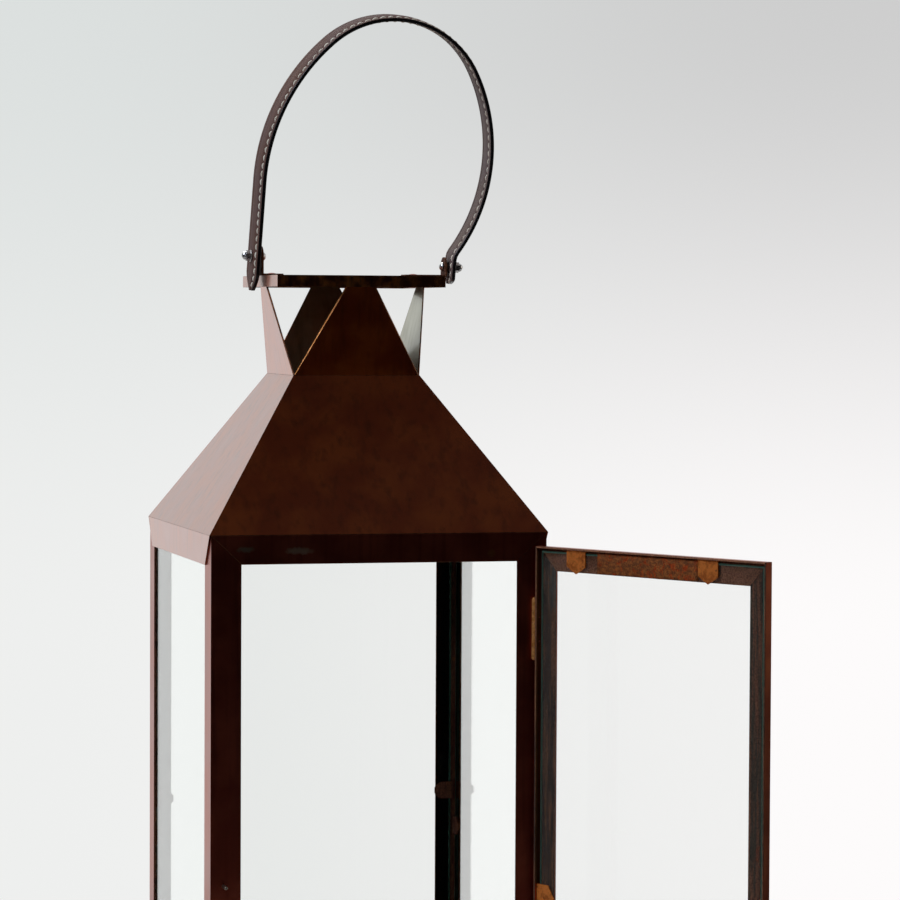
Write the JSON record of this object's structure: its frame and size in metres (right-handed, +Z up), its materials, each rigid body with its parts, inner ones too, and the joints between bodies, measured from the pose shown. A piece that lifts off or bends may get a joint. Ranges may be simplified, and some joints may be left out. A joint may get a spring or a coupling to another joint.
{
  "type": "candle lantern",
  "caption": "Tall square glazed steel candle lantern with a hinged door, a pyramid roof with an open neck and flat cap, and a looped leather strap handle.",
  "frame": {"origin": "on the floor, under the middle of the base", "axes": "+Z up, -Y out through the doorway, +X towards the side that carries the door hinges"},
  "size_m": [0.2819, 0.3597, 0.7188],
  "materials": {
    "frame_steel": "black-brown lacquered antique steel, satin",
    "roof_steel": "dark warm brown lacquered antique steel, satin gloss",
    "base_steel": "black-brown lacquered antique steel, satin",
    "door_steel": "red-brown heat-patinated steel, mottled, satin",
    "clip_steel": "copper-brown patinated strip, satin",
    "door_clip_steel": "copper-orange patinated strip, satin",
    "glass": "clear, polished",
    "door_glass": "clear, polished, green at the cut edge",
    "hinge_brass": "copper-coloured brass, worn",
    "hinge_pin_brass": "brass, worn",
    "latch_steel": "darkened steel, satin",
    "rivet_steel": "black-brown lacquered steel",
    "strap_leather": "brown-grey waxed harness leather",
    "strap_lining": "grey-brown flesh-side leather with a burnished black edge",
    "strap_core_steel": "sprung steel band",
    "spacer_leather": "dark leather washer",
    "bolt_steel": "polished nickel-plated steel",
    "foot_felt": "matt black rubber"
  },
  "bodies": {
    "root": {"base_pads": "foot_felt", "base_pan": "base_steel", "cap": "roof_steel", "front_bottom_rail": "frame_steel", "front_left_post": "frame_steel", "front_right_post": "frame_steel", "front_top_rail": "frame_steel", "hinge_frame_rivets": "rivet_steel", "latch_keeper": "latch_steel", "left_bottom_rail": "frame_steel", "left_glass": "glass", "left_glass_clips": "clip_steel", "left_handle_lug": "roof_steel", "left_top_rail": "frame_steel", "lower_hinge_frame_leaf": "hinge_brass", "lower_hinge_pin": "hinge_pin_brass", "lug_rivets": "rivet_steel", "rear_bottom_rail": "frame_steel", "rear_glass": "glass", "rear_glass_clips": "clip_steel", "rear_left_post": "frame_steel", "rear_right_post": "frame_steel", "rear_top_rail": "frame_steel", "right_bottom_rail": "frame_steel", "right_glass": "glass", "right_glass_clips": "clip_steel", "right_handle_lug": "roof_steel", "right_top_rail": "frame_steel", "roof_front_panel": "roof_steel", "roof_left_panel": "roof_steel", "roof_rear_panel": "roof_steel", "roof_right_panel": "roof_steel", "upper_hinge_frame_leaf": "hinge_brass", "upper_hinge_pin": "hinge_pin_brass"},
    "door": {"door_bottom_clips": "door_clip_steel", "door_bottom_rail": "door_steel", "door_free_stile": "door_steel", "door_glass": "door_glass", "door_hinge_stile": "door_steel", "door_side_clips": "door_clip_steel", "door_top_clips": "door_clip_steel", "door_top_rail": "door_steel", "hinge_door_rivets": "rivet_steel", "latch_pivot": "latch_steel", "lower_hinge_door_leaf": "hinge_brass", "upper_hinge_door_leaf": "hinge_brass"},
    "latch": {"latch_hook": "latch_steel"},
    "handle": {"handle_bolts": "bolt_steel", "handle_core": "strap_core_steel", "handle_dome_nuts": "bolt_steel", "handle_lining": "strap_lining", "handle_outer_leather": "strap_leather", "handle_spacers": "spacer_leather", "handle_washers": "bolt_steel"}
  },
  "joints": [
    {"name": "door_hinge", "type": "hinge", "parent": "root", "child": "door", "pos_m": [0.0914, -0.1019, 0.2171], "axis": [0, 0, 1], "range_deg": [-118.8, 3]},
    {"name": "latch_swing", "type": "hinge", "parent": "door", "child": "latch", "pos_m": [0.179, -0.25025, 0.2129], "axis": [-0.8763, -0.4818, 0], "range_deg": [0, 115]},
    {"name": "handle_pivot", "type": "hinge", "parent": "root", "child": "handle", "pos_m": [-0.054, 0, 0.5731], "axis": [0.9989, 0, -0.0471], "range_deg": [-140, 126]}
  ]
}
